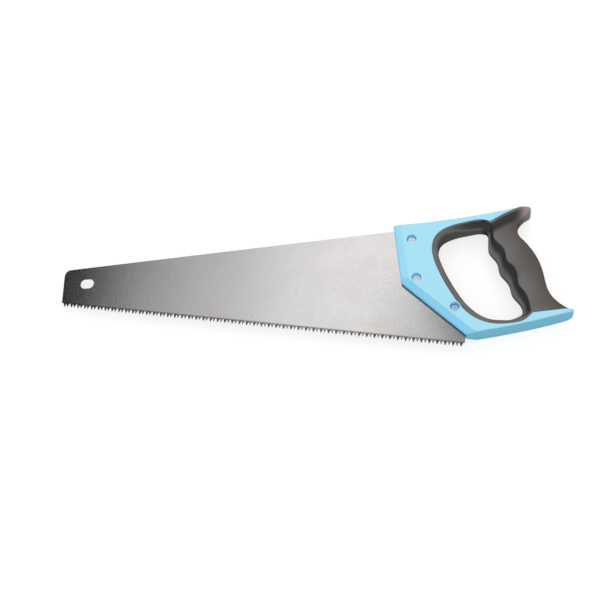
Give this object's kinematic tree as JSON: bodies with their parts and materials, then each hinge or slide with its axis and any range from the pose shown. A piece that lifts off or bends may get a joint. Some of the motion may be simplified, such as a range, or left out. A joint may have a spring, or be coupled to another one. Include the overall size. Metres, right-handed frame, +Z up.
{
  "type": "hand saw",
  "caption": "Hand saw: tapered steel blade with set teeth and a hanging slot, screwed into a closed two-material handle with a hard core, finger grooves and a soft grip.",
  "frame": {"origin": "middle of the base of the bounding box, with the saw lying on one cheek of its handle", "axes": "+X along the tooth line from the toe to the handle, +Y from the teeth to the back of the blade, +Z up, square to the blade"},
  "size_m": [0.4962, 0.1422, 0.024],
  "materials": {
    "blade_steel": "satin rolled and polished spring steel with a fine grain along the blade",
    "core_plastic": "light blue hard moulded plastic, fine satin texture",
    "grip_rubber": "dark grey soft moulded rubber, matt with a fine grain",
    "plated_steel": "bright zinc plated"
  },
  "bodies": {
    "root": {"blade": "blade_steel", "handle_core": "core_plastic", "soft_grip": "grip_rubber", "screw_upper": "plated_steel", "sleeve_nut_upper": "plated_steel", "screw_middle": "plated_steel", "sleeve_nut_middle": "plated_steel", "screw_lower": "plated_steel", "sleeve_nut_lower": "plated_steel"}
  },
  "joints": []
}
